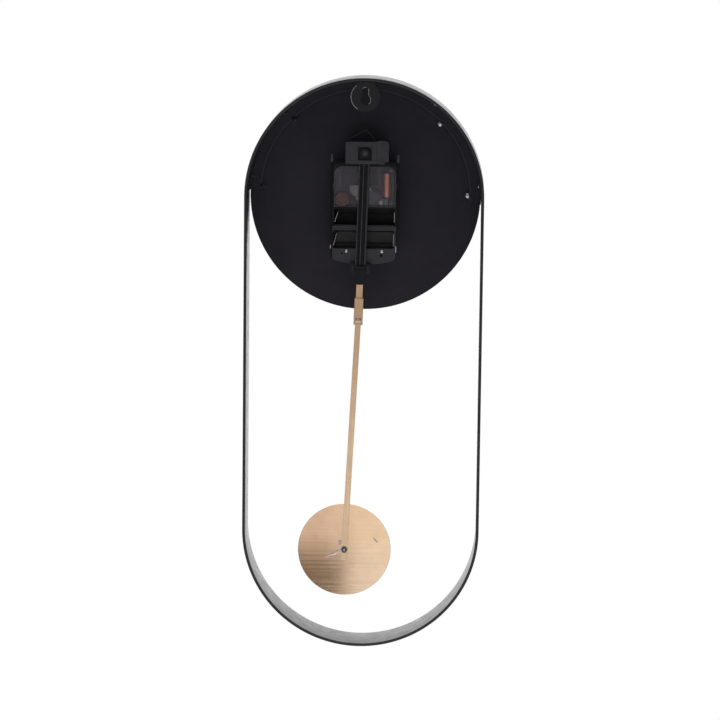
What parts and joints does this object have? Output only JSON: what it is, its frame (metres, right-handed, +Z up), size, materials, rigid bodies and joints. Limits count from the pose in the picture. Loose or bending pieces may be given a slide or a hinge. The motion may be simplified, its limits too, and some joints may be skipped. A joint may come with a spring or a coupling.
{
  "type": "pendulum wall clock",
  "caption": "Oblong metal hoop with a round dial at its top, a quartz movement behind it and a brass pendulum with a flat disc bob hanging in the open hoop.",
  "frame": {"origin": "top of the keyhole slot in the hanger plate, on the wall plane, where the neck of the wall screw bears", "axes": "+Z up along the hoop's length, +Y back into the wall, -Y towards the person who reads the dial, +X to the reader's right"},
  "size_m": [0.2, 0.0475, 0.482],
  "materials": {
    "black_metal": "satin black powder coat",
    "steel": "bright zinc plate",
    "black_plastic": "fine-grained black moulding",
    "smoky_plastic": "clear smoky moulding",
    "white_plastic": "natural acetal",
    "red_plastic": "brown-red moulding",
    "brass": "brushed along its length",
    "brushed_brass": "fine brushed disc",
    "copper": "enamelled copper wire",
    "magnet": "ground ferrite",
    "circuit": "phenolic board",
    "rubber": "matt"
  },
  "bodies": {
    "clock_body": {"hoop_frame": "black_metal", "dial_plate": "black_metal", "dial_bracket": "black_metal", "hanger_plate": "black_metal", "dial_stud_1": "steel", "dial_stud_2": "steel", "dial_stud_3": "steel", "dial_stud_4": "steel", "frame_screw_1": "steel", "frame_screw_2": "steel", "frame_screw_3": "steel", "frame_screw_4": "steel", "movement_case": "black_plastic", "movement_cover": "smoky_plastic", "train_plate": "black_plastic", "circuit_board": "circuit", "crystal_can": "steel", "coil_bobbin": "black_plastic", "coil_winding": "copper", "stator": "steel", "shaft_bushing": "brass", "cushion_washer": "rubber", "dial_washer": "brass", "dial_nut": "brass", "movement_contact_plus": "steel", "movement_contact_minus": "steel", "drive_contact_plus": "steel", "drive_contact_minus": "steel", "pendulum_frame": "black_plastic", "hanger_loop": "black_metal", "pivot_pin": "steel", "drive_coil": "copper", "drive_board": "circuit", "drive_screw_1": "steel", "drive_screw_2": "steel"},
    "rotor_body": {"rotor": "magnet"},
    "intermediate_body": {"intermediate_wheel": "white_plastic"},
    "second_body": {"second_wheel": "white_plastic"},
    "third_body": {"third_wheel": "white_plastic"},
    "centre_body": {"centre_wheel": "brass"},
    "minute_body": {"minute_arbor": "steel", "minute_hand": "brass", "hand_nut": "brass"},
    "motion_body": {"minute_wheel": "white_plastic"},
    "hour_body": {"hour_wheel": "white_plastic", "hour_hand": "brass"},
    "setting_body": {"setting_wheel": "red_plastic"},
    "arm_body": {"pendulum_arm": "black_plastic", "arm_magnet": "magnet", "pendulum_hook": "black_plastic"},
    "pendulum_body": {"top_strip": "brass", "clamp_sleeve": "brass", "clamp_screw": "steel", "pendulum_rod": "brass", "bob_disc": "brushed_brass", "bob_nut": "steel"}
  },
  "joints": [
    {"name": "pendulum_swing", "type": "hinge", "parent": "clock_body", "child": "arm_body", "pos_m": [0, -0.0148, -0.0556], "axis": [0, 1, 0], "range_deg": [-2.8, 6.2]},
    {"name": "pendulum_hang", "type": "hinge", "parent": "arm_body", "child": "pendulum_body", "pos_m": [0.00316, -0.0164, -0.16205], "axis": [0, 1, 0], "range_deg": [-3, 3]},
    {"name": "minute_turn", "type": "hinge", "parent": "clock_body", "child": "minute_body", "pos_m": [0, -0.0385, -0.093], "axis": [0, 1, 0], "continuous": true},
    {"name": "hour_turn", "type": "hinge", "parent": "clock_body", "child": "hour_body", "pos_m": [0, -0.0389, -0.093], "axis": [0, 1, 0], "continuous": true},
    {"name": "motion_turn", "type": "hinge", "parent": "clock_body", "child": "motion_body", "pos_m": [0.00935, -0.0335, -0.0939], "axis": [0, 1, 0], "continuous": true},
    {"name": "setting_turn", "type": "hinge", "parent": "clock_body", "child": "setting_body", "pos_m": [0.0187, -0.027, -0.0948], "axis": [0, 1, 0], "continuous": true},
    {"name": "second_turn", "type": "hinge", "parent": "clock_body", "child": "second_body", "pos_m": [0, -0.0278, -0.093], "axis": [0, 1, 0], "continuous": true},
    {"name": "intermediate_turn", "type": "hinge", "parent": "clock_body", "child": "intermediate_body", "pos_m": [-0.0072, -0.027, -0.0946], "axis": [0, 1, 0], "continuous": true},
    {"name": "rotor_turn", "type": "hinge", "parent": "clock_body", "child": "rotor_body", "pos_m": [-0.0136, -0.0254, -0.0979], "axis": [0, 1, 0], "continuous": true},
    {"name": "third_turn", "type": "hinge", "parent": "clock_body", "child": "third_body", "pos_m": [0.0054, -0.0291, -0.0864], "axis": [0, 1, 0], "continuous": true},
    {"name": "centre_turn", "type": "hinge", "parent": "clock_body", "child": "centre_body", "pos_m": [0, -0.0304, -0.093], "axis": [0, 1, 0], "continuous": true}
  ],
  "couplings": [
    {"joint": "hour_turn", "follows": "minute_turn", "ratio": 0.083333},
    {"joint": "motion_turn", "follows": "minute_turn", "ratio": -0.33333},
    {"joint": "setting_turn", "follows": "minute_turn", "ratio": 1},
    {"joint": "intermediate_turn", "follows": "second_turn", "ratio": -6},
    {"joint": "rotor_turn", "follows": "second_turn", "ratio": 30},
    {"joint": "third_turn", "follows": "second_turn", "ratio": -0.13333},
    {"joint": "centre_turn", "follows": "second_turn", "ratio": 0.016667}
  ]
}
